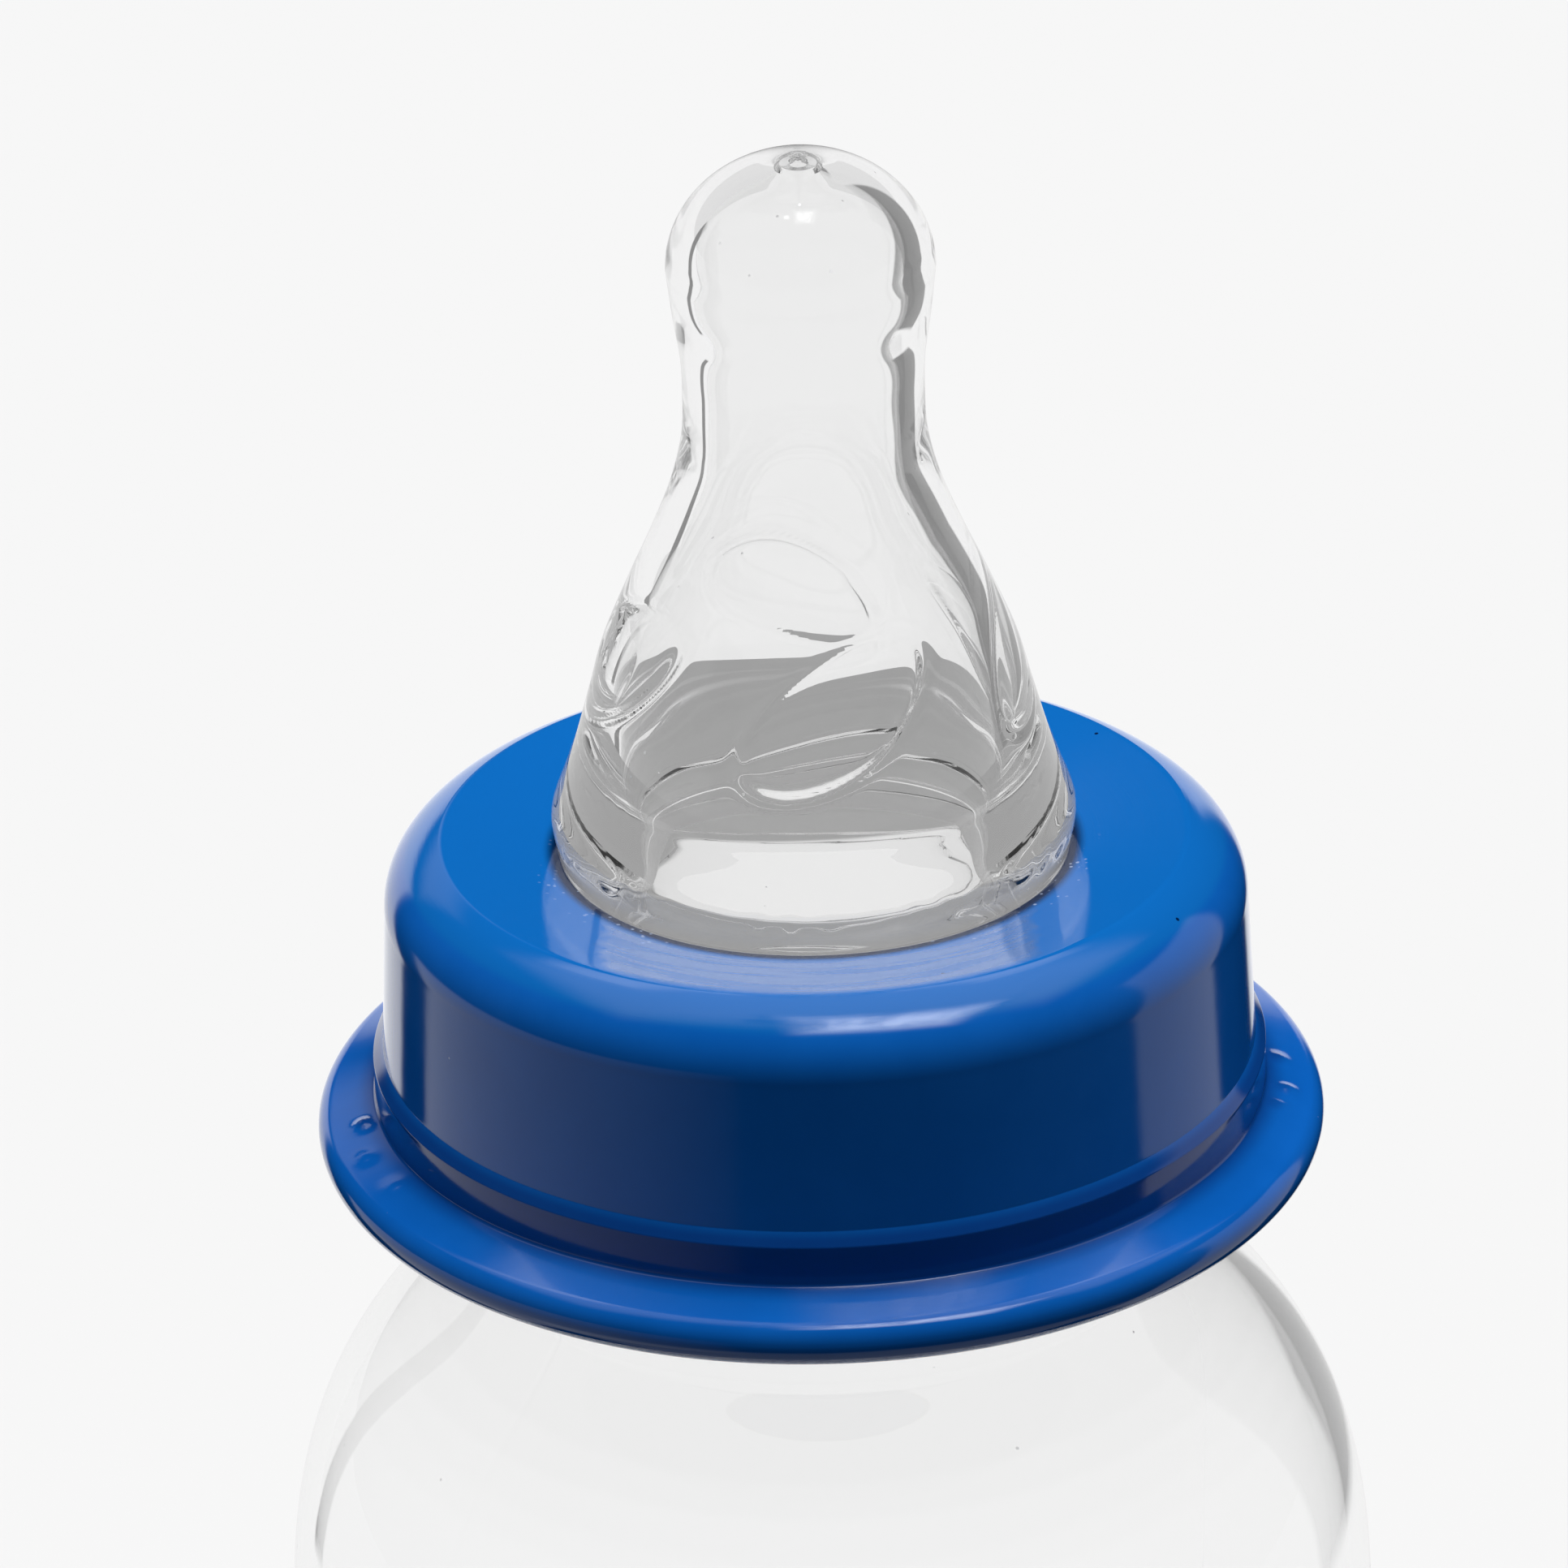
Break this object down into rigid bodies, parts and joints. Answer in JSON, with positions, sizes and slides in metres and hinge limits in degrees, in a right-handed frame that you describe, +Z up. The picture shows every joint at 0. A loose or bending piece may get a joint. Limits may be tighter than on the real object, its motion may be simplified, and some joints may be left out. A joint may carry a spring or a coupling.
{
  "type": "baby bottle",
  "caption": "Standard-neck baby bottle with a clear domed body, a glossy blue flanged screw ring and a clear silicone teat held in the ring.",
  "frame": {"origin": "centre of the foot ring, on the surface that the bottle stands on", "axes": "+Z up along the bottle's axis, from the base to the teat's tip; the vent in the teat's flange lies towards +X"},
  "size_m": [0.0552, 0.0552, 0.1832],
  "materials": {
    "bottle_clear": "clear gloss",
    "ring_blue": "gloss",
    "teat_silicone": "clear satin silicone"
  },
  "bodies": {
    "bottle": {"bottle": "bottle_clear"},
    "teat": {"teat": "teat_silicone"},
    "ring": {"screw_ring": "ring_blue"}
  },
  "joints": [
    {"name": "teat_lift", "type": "slide", "parent": "bottle", "child": "teat", "axis": [0, 0, 1], "range_m": [0, 0.0136]},
    {"name": "ring_turn", "type": "hinge", "parent": "teat", "child": "ring", "pos_m": [0, 0, 0.1318], "axis": [0, 0, 1], "range_deg": [0, 1080]}
  ],
  "couplings": [
    {"joint": "teat_lift", "follows": "ring_turn", "m_per_rad": 0.0007162}
  ]
}
